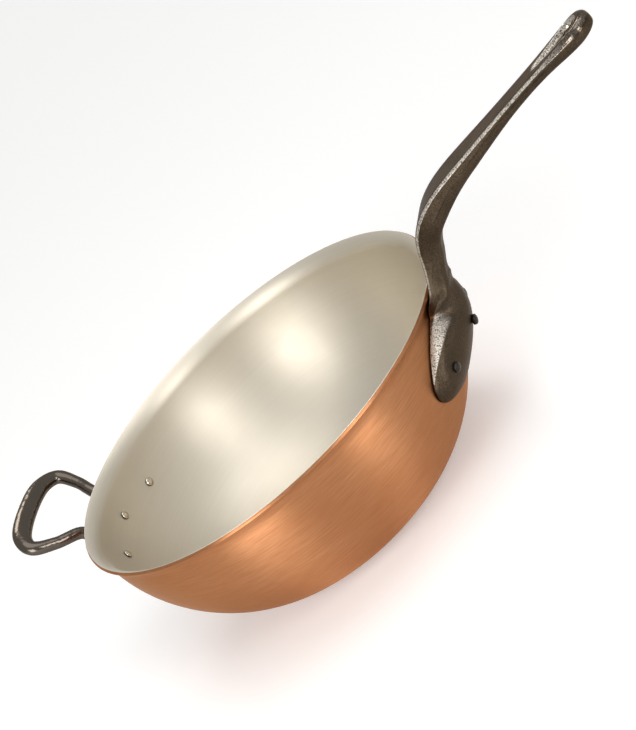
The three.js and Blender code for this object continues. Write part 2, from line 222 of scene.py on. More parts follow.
# Studio, in metres
AIM = Vector((0, 0, BOWL_HEIGHT * MM))
SOFTBOX_DISTANCE = 1.3
FLOOR_SIZE = 40.0
FLOOR_GLOW = 0.25
WORLD_LIGHT = 0.22
WORLD_SEEN = 0.7

# Camera: degrees, millimetres and pixels of the photo
CAMERA_AZIMUTH = -58.6
CAMERA_ELEVATION = 21.63
CAMERA_ROLL = 44.845
CAMERA_DISTANCE = 1425
FOCAL_PIXELS = 2167.3
PHOTO_PIXELS = (636, 730)
AIM_PIXEL = (250.72, 395.0)


# Curves

def mix(start, end, share):
    """A share of the way from one value to another."""
    return start + (end - start) * share


def ease(value, low, high):
    """0 below a span and 1 above it, with a smooth rise between."""
    share = np.clip((value - low) / (high - low), 0, 1)
    return share * share * (3 - 2 * share)


def quarter(share, power):
    """A superellipse's quarter: 1 at share 0, falling to 0 at share 1."""
    return np.clip(1 - np.clip(share, 0, 1) ** power, 0, 1) ** (1 / power)


def through(places, values, at):
    """A smooth curve through values at given places: cubic pieces whose slopes match where they meet."""
    places = np.asarray(places, float)
    values = np.asarray(values, float)
    slopes = np.gradient(values, places, axis=0)
    left = np.clip(np.searchsorted(places, at) - 1, 0, len(places) - 2)
    gap = places[left + 1] - places[left]
    share = (at - places[left]) / gap
    if values.ndim > 1:
        gap = gap[:, None]
        share = share[:, None]
    rise = share * share * (3 - 2 * share)
    start = share * (1 - share) ** 2 * gap
    stop = share * share * (share - 1) * gap
    ends = values[left] * (1 - rise) + values[left + 1] * rise
    return ends + slopes[left] * start + slopes[left + 1] * stop


def bezier(points, count):
    """A cubic curve pulled by its two middle points."""
    share = np.linspace(0, 1, count)[:, None]
    a, b, c, d = (np.asarray(point, float) for point in points)
    rest = 1 - share
    return rest ** 3 * a + 3 * rest ** 2 * share * b + 3 * rest * share ** 2 * c + share ** 3 * d


def lengths(line):
    """Distance run along a row of points, up to each of them."""
    step = np.linalg.norm(np.diff(line, axis=0), axis=1)
    return np.concatenate([[0], np.cumsum(step)])


# Meshes

def skin(name, grid, bands=None, bare=None):
    """A mesh over a grid of points: rows follow one another and columns close into a ring.

    End rows that shrink to a point or a line are welded shut. Bands give each row its material, and the last
    argument says how far each point is lightened to pale metal, partly as ground and worn metal and partly as
    painted highlight.
    """
    rows, columns = grid.shape[:2]
    row, column = np.meshgrid(np.arange(rows - 1), np.arange(columns), indexing="ij")
    steps = ((0, 0), (0, 1), (1, 1), (1, 0))
    corners = [(row + down) * columns + (column + over) % columns for down, over in steps]
    mesh = bpy.data.meshes.new(name)
    points = (grid.reshape(-1, 3) * MM).tolist()
    mesh.from_pydata(points, [], np.stack(corners, -1).reshape(-1, 4).tolist())
    spots = [np.stack([(column + over) / columns, (row + down) / (rows - 1)], -1) for down, over in steps]
    mesh.uv_layers.new(name="around").data.foreach_set("uv", np.stack(spots, 2).ravel())
    if bands is not None:
        mesh.polygons.foreach_set("material_index", np.repeat(bands[:-1], columns))
    if bare is not None:
        layer = mesh.attributes.new("bare", "FLOAT", "POINT").data
        layer.foreach_set("value", bare.astype(np.float32).ravel())
    shape = bmesh.new()
    shape.from_mesh(mesh)
    bmesh.ops.remove_doubles(shape, verts=shape.verts, dist=WELD)
    bmesh.ops.recalc_face_normals(shape, faces=shape.faces)
    shape.to_mesh(mesh)
    shape.free()
    mesh.shade_smooth()
    made = bpy.data.objects.new(name, mesh)
    bpy.context.scene.collection.objects.link(made)
    return made


def turned(profile, count):
    """A profile of (radius, height) points turned round +Z."""
    turn = np.linspace(0, 2 * np.pi, count, endpoint=False)
    radius = profile[:, :1]
    height = np.broadcast_to(profile[:, 1:], (len(profile), count))
    return np.stack([radius * np.cos(turn), radius * np.sin(turn), height], -1)


def dress(piece, node, slot, *finishes):
    """Gives a piece its finishes, hides the solid that it replaces and hangs it on the root body. The slot is
    not used.
    """
    for finish in finishes:
        piece.data.materials.append(finish)
    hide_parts(node)
    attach(piece, "root")


def cut(piece, tool, operation):
    """Joins a tool to a piece or takes it away, and keeps the result as the piece's own mesh."""
    change = piece.modifiers.new("shape", "BOOLEAN")
    change.operation = operation
    change.solver = "EXACT"
    change.object = tool
    result = bpy.data.meshes.new_from_object(piece.evaluated_get(bpy.context.evaluated_depsgraph_get()))
    piece.modifiers.clear()
    piece.data = result
    spare = tool.data
    bpy.data.objects.remove(tool)
    bpy.data.meshes.remove(spare)


# Bowl

def wall(share):
    """The copper's outer face at a share of the wall's height below the neck, and its outward normal.

    The profile is a superellipse's quarter from the neck's radius in to the base's.
    """
    out = quarter(share, WALL_FULLNESS)
    radius = mix(BASE_RADIUS, NECK_RADIUS, out)
    height = WALL_HEIGHT * (1 - share)
    steep = WALL_FULLNESS - 1
    normal = np.stack([out ** steep / (NECK_RADIUS - BASE_RADIUS), -share ** steep / WALL_HEIGHT], -1)
    return np.stack([radius, height], -1), normal / np.linalg.norm(normal, axis=-1, keepdims=True)


def wall_at_depth(depth):
    """The wall's point and normal at a depth below the lip, or those of the neck above it."""
    return wall((np.maximum(depth, NECK_DEPTH) - NECK_DEPTH) / WALL_HEIGHT)


def sheet_face(inside):
    """A face of the sheet at a distance inside the copper's outer face, from the axis to the lip."""
    base = np.stack([np.linspace(0, BASE_RADIUS, BASE_STEPS + 1)[:-1], np.full(BASE_STEPS, inside)], -1)
    turn = np.linspace(np.pi / 2, 0, WALL_STEPS)
    points, normals = wall(np.sin(turn) ** (2 / WALL_FULLNESS))
    bend = LIP_BEND + inside
    turn = np.linspace(0, FLARE - EDGE_ROUND / LIP_BEND, LIP_STEPS)[1:]
    lip = np.stack([NECK_RADIUS + LIP_BEND - bend * np.cos(turn), WALL_HEIGHT + bend * np.sin(turn)], -1)
    return np.concatenate([base, points - inside * normals, lip])


def sheet(name, outer, inner):
    """A bowl of sheet: two faces turned round the axis, with a flattened half round along the lip's edge."""
    outside = sheet_face(outer)
    inside = sheet_face(inner)
    across = (inside[-1] - outside[-1]) / 2
    forward = np.array([-across[1], across[0]]) / np.linalg.norm(across)
    forward = forward * math.copysign(EDGE_ROUND, forward[0])
    turn = np.linspace(-np.pi / 2, np.pi / 2, EDGE_STEPS)[1:-1, None]
    middle = (inside[-1] + outside[-1]) / 2
    sideways = np.sign(turn) * np.abs(np.sin(turn)) ** EDGE_FLATNESS
    edge = middle + across * sideways + forward * np.cos(turn) ** EDGE_FLATNESS
    return skin(name, turned(np.concatenate([outside, edge, inside[::-1]]), BOWL_TURN))


# Castings

def nearest_border(along, half, y):
    """Distance of each section point to the casting's outline, measured on its flattened sheet."""
    fine = np.linspace(0, len(along) - 1, BORDER_FINENESS * len(along))
    border_along = np.interp(fine, np.arange(len(along)), along)
    border_half = np.interp(fine, np.arange(len(along)), half)
    rows = []
    for place, across in zip(along, np.abs(y)):
        reach = np.hypot(across[:, None] - border_half, place - border_along)
        rows.append(reach.min(axis=1))
    return np.array(rows)


FORM = ("edge", "wing", "ridge", "spread", "slope")


def crown(border, y, edge, wing, ridge, spread, slope):
    """Thickness of a section, and the share climbed.

    Facets rise from the border by a slope and turn over softly onto the crown, where a bell-shaped ridge
    stands between two wings.
    """
    rise = mix(wing, ridge, np.exp(-(y / spread) ** 2)) - edge
    climb = border * slope / rise
    share = climb / (1 + climb ** FACET_TURN) ** (1 / FACET_TURN)
    return edge + rise * share, share


def casting(name, row):
    """A casting as sections carried along a line: plain inside, crowned outside, borders eased all round.

    Each section runs across by share and outwards by thickness; near the outline the inner side is
    bevelled and the outer side rounded by the distance to the outline.
    """
    def column(key):
        """A row value as a column, to work with the points across."""
        return row[key][:, None]

    inner_share = np.sin(np.linspace(-np.pi / 2, np.pi / 2, INSIDE_POINTS))
    outer_share = np.sin(np.linspace(np.pi / 2, -np.pi / 2, OUTSIDE_POINTS))
    line = np.stack([row["x"], row["z"]], -1)
    along = lengths(line)
    inner_y = inner_share * column("half")
    outer_y = outer_share * column("half")
    bevel = column("bevel")
    near = np.clip(1 - nearest_border(along, row["half"], inner_y) / bevel, 0, 1)
    power = column("bevel_power")
    inner_n = bevel * (1 - (1 - near ** power) ** (1 / power))
    # Worn bevels are lightened to pale metal, partly as painted highlight along the edges
    inner_bare = ease(near, *WORN_AND_SHEEN_FADE) * column("worn")
    rim = np.minimum(column("rim"), column("edge") - bevel - EDGE_LEAST)
    border = nearest_border(along, row["half"], outer_y)
    near = np.clip(1 - border / rim, 0, 1)
    thick, climbed = crown(border, outer_y, *(column(key) for key in FORM))
    outer_n = thick - rim * (1 - np.sqrt(1 - near ** 2))
    # Ground facets are lightened to pale metal, partly as painted highlight on the facets
    reach = np.maximum(column("ground_and_sheen"), GROUND_AND_SHEEN_LEAST)
    ground_and_sheen = FACET_BARE_AND_SHEEN * (1 - ease(climbed / reach, *GROUND_AND_SHEEN_FADE))
    outer_bare = ground_and_sheen * ease(np.abs(outer_y), *GROUND_AND_SHEEN_ACROSS)
    side = np.array(SIDE_SHARES)
    right_n = mix(bevel, column("edge") - rim, side)
    side_y = np.ones(len(side)) * column("half")
    y = np.concatenate([inner_y, side_y, outer_y, -side_y], 1)
    n = np.concatenate([inner_n, right_n, outer_n, right_n[:, ::-1]], 1) + column("sink")
    curl = np.maximum(column("curl"), CURL_LEAST)
    out = (1 / curl + n) * np.cos(curl * y) - 1 / curl
    across = (1 / curl + n) * np.sin(curl * y)
    lean = column("lean")
    grid = np.stack([column("x") + out * np.cos(lean), across, column("z") + out * np.sin(lean)], -1)
    side_bare = FACET_BARE_AND_SHEEN * column("ground_and_sheen") * ease(side_y, *GROUND_AND_SHEEN_ACROSS)
    return skin(name, grid, bare=np.concatenate([inner_bare, side_bare, outer_bare, side_bare], 1))


def on_wall(depth, half, edge, wing, ridge, spread, bevel, rim):
    """Rows of a foot that lies on the wall at the given depths."""
    radius = wall_at_depth(depth)[0][:, 0] + SEAT_GAP
    flat = np.ones_like(depth)
    return {
        "x": radius, "z": BOWL_HEIGHT - depth, "lean": 0 * flat, "curl": 1 / radius, "half": half,
        "edge": edge * flat, "wing": wing, "ridge": ridge, "spread": spread * flat,
        "slope": FACET_SLOPE * flat,
        "bevel": bevel * flat, "bevel_power": ROUND_BEVEL * flat, "rim": rim * flat, "sink": 0 * flat,
        "ground_and_sheen": 0 * flat, "worn": 0 * flat,
    }


def long_foot(depth):
    """The spade foot: sloping shoulders, a rounded heel and a ridge that rises to the root."""
    drop = np.maximum(0, (depth - FOOT_WIDEST) / (FOOT_BOTTOM - FOOT_WIDEST))
    climb = np.maximum(0, (FOOT_WIDEST - depth) / (FOOT_WIDEST - FOOT_TOP))
    shoulder = mix(ROOT_WIDTH / 2, FOOT_HALF, quarter(climb, SHOULDER_CURVE))
    wing, ridge, spread = (
        through(FORM_DEPTHS, heights, depth) for heights in (WING_HEIGHTS, RIDGE_HEIGHTS, RIDGE_SPREADS))
    edge = mix(FOOT_EDGE, ridge * ROOT_EDGE, ease(NECK_DEPTH - depth, *EDGE_RISE))
    half = shoulder * quarter(drop, HEEL_CURVE)
    row = on_wall(depth, half, edge, wing, ridge, spread, FOOT_BEVEL, FOOT_RIM)
    row["slope"] = mix(ROOT_SLOPE, FACET_SLOPE, ease(depth, *ROOT_DEPTHS))
    # Where the shoulders' facets are lightened, partly as painted highlight
    row["ground_and_sheen"] = ease(depth, *GROUND_AND_SHEEN_DEPTHS[:2]) * (1 - ease(depth, *GROUND_AND_SHEEN_DEPTHS[2:]))
    return row


def top_line():
    """The stem's top from the neck past the lip, round the bend and along the run, as (x, z) points.

    With it come the distance run up to each point, to the lip, to the root's end and to the bend's end.
    """
    start = np.array([wall_at_depth(np.array([NECK_DEPTH]))[0][0, 0] + SEAT_GAP, WALL_HEIGHT])
    lip, bend_start, bend_end, tip = (np.array(p) for p in (LIP_CROSS, BEND_START, BEND_END, TIP))
    rise = (bend_start - lip) / np.linalg.norm(bend_start - lip)
    run = (tip - bend_end) / np.linalg.norm(tip - bend_end)
    root = bezier((start, start + [0, NECK_PULL], lip - NECK_PULL * rise, lip), ROOT_POINTS)
    pulls = (bend_start + BEND_PULL * rise, bend_end - BEND_PULL * run)
    bend = bezier((bend_start, *pulls, bend_end), BEND_POINTS)
    line = np.concatenate([root, bend, tip[None]])
    marks = lengths(line)
    return line, marks, marks[ROOT_POINTS - 1], marks[ROOT_POINTS], marks[ROOT_POINTS + BEND_POINTS - 1]


def stem():
    """Rows of the stem along its top line, from above the neck to the round nose.

    Width and thickness are smooth curves through values at named places along the line.
    """
    line, marks, lip_cross, root_end, bend_end = top_line()
    length = marks[-1]
    bend_middle = (root_end + bend_end) / 2
    ring_middle = length - RING_WIDTH / 2
    waist = length - RING_WALL - HOLE_LENGTH
    root_steps, bend_steps, run_steps, nose_steps = STEM_STEPS
    nose = np.sin(np.linspace(0, np.pi / 2, nose_steps))[1:]
    at = np.concatenate([
        np.linspace(0, root_end, root_steps)[1:],
        np.linspace(root_end, bend_end, bend_steps)[1:],
        np.linspace(bend_end, ring_middle, run_steps)[1:],
        mix(ring_middle, length, nose),
    ])
    x = np.interp(at, marks, line[:, 0])
    z = np.interp(at, marks, line[:, 1])
    angle = np.arctan2(np.gradient(z, at), np.gradient(x, at))
    neck = long_foot(np.array([NECK_DEPTH]))
    leave = ease(at, 0, root_end)
    width = through(
        [0, lip_cross, bend_middle, waist, ring_middle, length],
        [2 * neck["half"][0], ROOT_WIDTH, STEM_WIDTH, WAIST_WIDTH, RING_WIDTH, RING_WIDTH], at)
    ridge = through(
        [0, lip_cross, root_end, bend_middle, bend_end, waist, ring_middle, length],
        [RIDGE_HEIGHTS[0], LIP_THICKNESS, ROOT_END_THICKNESS, STEM_THICKNESS, RUN_THICKNESS, WAIST_THICKNESS,
         RING_THICKNESS, RING_THICKNESS], at)
    ring = ease(at, waist, ring_middle)
    full = ease(at, lip_cross, root_end)
    past_lip = ease(at, 0, lip_cross)
    edge = mix(FOOT_EDGE, ridge * mix(ROOT_EDGE, STEM_EDGE, full), ease(at, *EDGE_RISE))
    wing = np.maximum(mix(WING_HEIGHTS[0], ridge * STEM_WING, leave), edge + EDGE_LEAST)
    round_nose = quarter((at - ring_middle) / (length - ring_middle), 2)
    return {
        "x": x, "z": z, "lean": leave * (angle - np.pi / 2), "curl": neck["curl"][0] * (1 - leave),
        "half": width / 2 * round_nose, "edge": edge, "wing": wing, "ridge": ridge,
        "spread": 0 * at + RIDGE_SPREADS[0], "slope": 0 * at + neck["slope"][0],
        "bevel": mix(mix(FOOT_BEVEL, STEM_BEVEL, past_lip), RING_BEVEL, ring),
        "bevel_power": mix(mix(ROUND_BEVEL, STEM_BEVEL_CURVE, past_lip), ROUND_BEVEL, ring),
        "rim": mix(mix(mix(FOOT_RIM, ROOT_RIM, past_lip), STEM_RIM, full), RING_RIM, ring),
        "sink": -ring * RING_LIFT,
        # Bevels past the lip are lightened, partly as painted highlight, less so on the ring
        "ground_and_sheen": 0 * at, "worn": past_lip * (1 - RING_POLISH * ring),
    }


def hanging_hole():
    """The cutter of the hanging hole: a teardrop through the round end, flared by quarter rounds.

    With it come the teardrop's centre, the run's direction, and the outline with its outward directions.
    """
    line = top_line()[0]
    run = (line[-1] - line[-2]) / np.linalg.norm(line[-1] - line[-2])
    down = np.array([run[1], -run[0]])
    radius = HOLE_WIDTH / 2
    point = HOLE_LENGTH - radius
    centre = line[-1] - run * (RING_WALL + radius)
    touch = math.acos(radius / point)
    turn = np.linspace(touch - np.pi, np.pi - touch, HOLE_TURN)
    share = np.linspace(0, 1, HOLE_SLOPE)[1:-1]
    start = np.array([math.cos(np.pi - touch), math.sin(np.pi - touch)]) * radius
    slope = np.stack([mix(start[0], -point, share), mix(start[1], 0, share)], -1)
    ring = np.stack([np.cos(turn), np.sin(turn)], -1) * radius
    outline = np.concatenate([ring, slope, [[-point, 0]], slope[::-1] * [1, -1]])
    top = -RING_LIFT
    bottom = top + RING_THICKNESS
    turn = np.linspace(0, np.pi / 2, HOLE_FLARE)
    flare = HOLE_ROUND * (1 - np.sin(turn))
    sunk = HOLE_ROUND * (1 - np.cos(turn))
    above = [top - HOLE_OVERRUN] * 2
    below = [bottom + HOLE_OVERRUN] * 2
    levels = np.concatenate([above, top + sunk, bottom - sunk[::-1], below])
    grow = np.concatenate([[0, HOLE_ROUND], flare, flare[::-1], [HOLE_ROUND, 0]])
    kept = np.ones(len(levels))
    kept[[0, -1]] = 0
    direction = np.stack([np.gradient(outline[:, 1]), -np.gradient(outline[:, 0])], -1)
    direction = direction / np.linalg.norm(direction, axis=1, keepdims=True)
    flat = outline * kept[:, None, None] + direction * grow[:, None, None]
    place = centre + flat[..., :1] * run + levels[:, None, None] * down
    grid = np.stack([place[..., 0], flat[..., 1], place[..., 1]], -1)
    # The cutter's faces carry the hole's pale metal, partly painted highlight
    tool = skin("hanging_hole", grid, bare=np.full(grid.shape[:2], HOLE_BARE_AND_SHEEN))
    return tool, centre, run, outline, direction


def bare_hole(piece, centre, run, outline, direction):
    """Lightens the hanging hole to pale metal, as bare cut metal and partly as painted highlight: every point
    that lies inside the flared teardrop.
    """
    count = len(piece.data.vertices)
    spots = np.empty(3 * count, np.float32)
    piece.data.vertices.foreach_get("co", spots)
    spots = spots.reshape(-1, 3) / MM
    flat = np.stack([(spots[:, [0, 2]] - centre) @ run, spots[:, 1]], -1)
    outside = (flat @ direction.T - (outline * direction).sum(axis=1)).max(axis=1)
    values = np.empty(count, np.float32)
    layer = piece.data.attributes["bare"].data
    layer.foreach_get("value", values)
    layer.foreach_set("value", np.where(outside < HOLE_ROUND, HOLE_BARE_AND_SHEEN, values).astype(np.float32))


def long_handle():
    """The long handle: foot and stem as one casting, with the hanging hole cut out and its metal lightened,
    partly as painted highlight.
    """
    turn = np.linspace(np.pi / 2, 0, HEEL_STEPS)
    heel = mix(FOOT_WIDEST, FOOT_BOTTOM, np.sin(turn) ** (2 / HEEL_CURVE))
    shoulders = np.linspace(FOOT_WIDEST, NECK_DEPTH, SHOULDER_STEPS)[1:]
    foot = long_foot(np.concatenate([heel, shoulders]))
    rest = stem()
    piece = casting("long_handle_casting", {key: np.concatenate([foot[key], rest[key]]) for key in foot})
    tool, *hole = hanging_hole()
    cut(piece, tool, "DIFFERENCE")
    bare_hole(piece, *hole)
    return piece


def helper_foot(depth):
    """The helper's foot: a crowned oval on the wall."""
    middle = (HELPER_TOP + HELPER_BOTTOM) / 2
    away = np.abs(depth - middle) / (HELPER_BOTTOM - middle)
    half = HELPER_HALF * quarter(away, HELPER_CURVE)
    ridge = mix(HELPER_CROWN, HELPER_EDGE, HELPER_FALL * away ** 2)
    wing = mix(HELPER_EDGE, ridge, HELPER_WING)
    return on_wall(depth, half, HELPER_EDGE, wing, ridge, HELPER_HALF / 2, HELPER_BEVEL, HELPER_RIM)


def helper_loop():
    """The helper's loop: an oval section along a line of two legs and a bar.

    The line is a smooth curve through points whose places are spread by the root of their distances. The
    oval grows from the legs' to the bar's, and by a bell curve where it leaves the foot.
    """
    root = wall_at_depth(np.array([LOOP_ROOT_DEPTH]))[0][0, 0] + SEAT_GAP + HELPER_EDGE / 2
    low = BOWL_HEIGHT - LOOP_ROOT_DEPTH

    def place(share, half):
        """A point of the loop at a share of its reach and half of its width there."""
        return [mix(root, LOOP_END[0], share), half, mix(low, LOOP_END[1], share)]

    side = np.array([
        [root, LOOP_ROOT_HALF, low],
        [root + LEG, LOOP_ROOT_HALF, low + LEG / 3],
        place(LEG_STRAIGHT, LOOP_ROOT_HALF),
        place(LEG_SPREAD[0], mix(LOOP_ROOT_HALF, LOOP_BAR_HALF, LEG_SPREAD[1])),
        place(LOOP_CORNER, LOOP_BAR_HALF),
        place(BAR_TURN[0], LOOP_BAR_HALF * BAR_TURN[1]),
    ])
    points = np.concatenate([side, [place(1, 0)], side[::-1] * [1, -1, 1]])
    knots = np.concatenate([[0], np.cumsum(np.linalg.norm(np.diff(points, axis=0), axis=1) ** 0.5)])
    line = through(knots, points, np.linspace(0, knots[-1], LOOP_POINTS))
    marks = lengths(line)
    at = np.linspace(0, marks[-1], LOOP_STEPS)
    line = np.stack([np.interp(at, marks, line[:, i]) for i in range(3)], -1)
    share = at / marks[-1]
    tangent = np.gradient(line, at, axis=0)
    tangent = tangent / np.linalg.norm(tangent, axis=1, keepdims=True)
    slope = np.array([LOOP_END[0] - root, 0, LOOP_END[1] - low])
    lift = np.cross(slope, [0, -1, 0])
    lift = lift / np.linalg.norm(lift)
    beside = np.cross(tangent, lift)
    beside = beside / np.linalg.norm(beside, axis=1, keepdims=True)
    up = np.cross(beside, tangent)
    in_bar = ease(1 - np.abs(2 * share - 1), *BAR_GROWTH)
    from_root = np.minimum(at, marks[-1] - at)
    grown = 1 + ROOT_FLARE * np.exp(-(from_root / ROOT_FLARE_REACH) ** 2)
    shut = np.ones(len(at))
    shut[[0, -1]] = 0
    across = (mix(LEG, BAR_WIDTH, in_bar) / 2 * grown * shut)[:, None, None]
    high = (mix(LEG, BAR_THICKNESS, in_bar) / 2 * grown * shut)[:, None, None]
    turn = np.linspace(0, 2 * np.pi, LOOP_TURN, endpoint=False)[None, :, None]
    grid = line[:, None] + beside[:, None] * across * np.cos(turn) + up[:, None] * high * np.sin(turn)
    return skin("loop", grid)


def helper_handle():
    """The helper handle: its foot joined with the loop, turned round to the bowl's other side."""
    turn = np.linspace(-np.pi / 2, np.pi / 2, HELPER_STEPS)
    depth = mix(HELPER_BOTTOM, HELPER_TOP, (np.sin(turn) + 1) / 2)
    piece = casting("helper_handle_casting", helper_foot(depth))
    cut(piece, helper_loop(), "UNION")
    piece.data.transform(Matrix.Rotation(math.pi, 4, "Z"))
    return piece


# Rivets

def rivet(name, facing, along, depth, foot, sink):
    """A rivet through the wall: a head on the lining with painted shade round its rim, a shank, and a domed
    tail on the foot.

    The head is a superellipse turned round the wall's normal, and the tail's dome a half ellipse.
    """
    station = foot(np.array([depth]))
    thickness = crown(station["half"][0] - abs(along), along, *(station[key][0] for key in FORM))[0]
    turn = np.linspace(0, np.pi / 2, RIVET_STEPS)
    full = 2 / HEAD_FULLNESS
    head = np.stack([HEAD_RADIUS * np.sin(turn) ** full, -SHEET - HEAD_HEIGHT * np.cos(turn) ** full], -1)
    seat = SEAT_GAP + thickness - sink
    shank = np.array([[SHANK_RADIUS, -SHEET], [SHANK_RADIUS, seat], [TAIL_RADIUS, seat]])
    dome = TAIL_HEIGHT - TAIL_RIM
    tail = np.stack([TAIL_RADIUS * np.cos(turn), seat + TAIL_RIM + dome * np.sin(turn)], -1)
    profile = np.concatenate([head, shank, tail])
    points, normals = wall_at_depth(np.array([depth]))
    angle = facing + along / points[0, 0]
    outwards = np.array([math.cos(angle) * normals[0, 0], math.sin(angle) * normals[0, 0], normals[0, 1]])
    around = np.array([-math.sin(angle), math.cos(angle), 0])
    axes = np.stack([around, np.cross(outwards, around), outwards])
    origin = np.array([math.cos(angle) * points[0, 0], math.sin(angle) * points[0, 0], points[0, 1]])
    # The head's lowest rim takes the dark finish as painted shade where it meets the lining
    bands = (profile[:, 1] > -SHEET - HEAD_SHADE_RIM).astype(int)
    return skin(name, turned(profile, RIVET_TURN) @ axes + origin, bands)


# Finishes

def linear(code):
    """A colour written as sRGB hex, in linear light with full alpha."""
    value = np.array([int(code[i:i + 2], 16) for i in (1, 3, 5)]) / 255
    light = np.where(value <= 0.04045, value / 12.92, ((value + 0.055) / 1.055) ** 2.4)
    return (*light.tolist(), 1.0)


def add(tree, kind, inputs=None, **settings):
    """Adds a node with its settings and returns its outputs.

    An input given as a socket is linked, and any other value is set.
    """
    made = tree.nodes.new("ShaderNode" + kind)
    for key, value in settings.items():
        setattr(made, key, value)
    for key, value in (inputs or {}).items():
        if isinstance(value, bpy.types.NodeSocket):
            tree.links.new(value, made.inputs[key])
        else:
            made.inputs[key].default_value = value
    return made.outputs


def finished(recipe):
    """A material named for its recipe, which fills the tree and returns the inputs of the shader."""
    made = bpy.data.materials.new(recipe.__name__)
    made.use_nodes = True
    tree = made.node_tree
    tree.nodes.clear()
    shader = add(tree, "BsdfPrincipled", recipe(tree))
    add(tree, "OutputMaterial", {"Surface": shader["BSDF"]})
    return made


def patches(tree, size, detail, roughness=0.5):
    """Soft noise in the piece's own space, with patches of about the given size in millimetres."""
    spot = add(tree, "TexCoord")["Object"]
    return add(tree, "TexNoise", {
        "Vector": spot, "Scale": 1 / (size * MM), "Detail": detail, "Roughness": roughness})["Fac"]


def two_tones(tree, pattern, span, first, second):
    """One colour where a pattern is low and another where it is high, blended over a span of its values."""
    share = add(tree, "MapRange", {"Value": pattern, "From Min": span[0], "From Max": span[1]})["Result"]
    return add(tree, "Mix", {"Factor": share, "A": first, "B": second}, data_type="RGBA")[2]


def brush_lines(tree, width, stretch):
    """Noise drawn out round the bowl: fine along the profile, long round the axis.

    It is read at a point that goes round by the direction from the axis, divided by stretch, and up by
    radius plus height, counted in widths.
    """
    spot = add(tree, "TexCoord")["Object"]
    flat = add(tree, "VectorMath", {0: spot, 1: (1, 1, 0)}, operation="MULTIPLY")["Vector"]
    radius = add(tree, "VectorMath", {0: flat}, operation="LENGTH")["Value"]
    outwards = add(tree, "VectorMath", {0: flat}, operation="NORMALIZE")["Vector"]
    height = add(tree, "SeparateXYZ", {0: spot})["Z"]
    climbed = add(tree, "Math", {0: radius, 1: height}, operation="ADD")["Value"]
    run = add(tree, "Math", {0: climbed, 1: 1 / (width * MM)}, operation="MULTIPLY")["Value"]
    around = add(tree, "VectorMath", {0: outwards, "Scale": 1 / stretch}, operation="SCALE")["Vector"]
    lift = add(tree, "CombineXYZ", {"Z": run})["Vector"]
    place = add(tree, "VectorMath", {0: around, 1: lift}, operation="ADD")["Vector"]
    return add(tree, "TexNoise", {"Vector": place, "Scale": 1.0, "Detail": 3.0, "Roughness": 0.6})["Fac"]


def brushed_copper(tree):
    """Copper brushed round the bowl: streaks follow the turns, and lights smear up and down the wall.

    Real brush lines are too fine to show, so they are drawn as coarse as they need to be.
    """
    lines = brush_lines(tree, 0.8, 0.15)
    fine = brush_lines(tree, 0.35, 0.1)
    tone = two_tones(tree, patches(tree, 60, 3.0), (0.35, 0.65), linear("#ac7650"), linear("#b6825c"))
    both = add(tree, "Math", {0: lines, 1: fine}, operation="ADD")["Value"]
    rough = add(tree, "MapRange", {
        "Value": lines, "From Min": NOISE_SPAN[0], "From Max": NOISE_SPAN[1], "To Min": 0.39, "To Max": 0.43})
    return {
        "Base Color": two_tones(tree, both, (0.75, 1.25), linear("#a26c47"), tone),
        "Roughness": rough["Result"],
        "Normal": add(tree, "Bump", {"Height": fine, "Strength": 0.12, "Distance": 0.2 * MM})["Normal"],
        "Tangent": add(tree, "Tangent", direction_type="UV_MAP", uv_map="around")["Tangent"],
        "Metallic": 1.0,
        "Specular Tint": linear("#e9d6c8"),
        "Anisotropic": 0.9,
        "Anisotropic Rotation": QUARTER_TURN,
    }


def satin_steel(tree):
    """Stainless with a warm satin: soft reflections of the bowl itself, and faint lines round the wall."""
    lines = brush_lines(tree, 0.8, 0.6)
    rough = add(tree, "MapRange", {
        "Value": patches(tree, 45, 3.0), "From Min": NOISE_SPAN[0], "From Max": NOISE_SPAN[1],
        "To Min": 0.45, "To Max": 0.53})
    return {
        "Base Color": two_tones(tree, lines, NOISE_SPAN, linear("#c8c0b1"), linear("#cbc4b6")),
        "Roughness": rough["Result"],
        "Tangent": add(tree, "Tangent", direction_type="UV_MAP", uv_map="around")["Tangent"],
        "Metallic": 1.0,
        "Anisotropic": 0.5,
        "Anisotropic Rotation": QUARTER_TURN,
    }


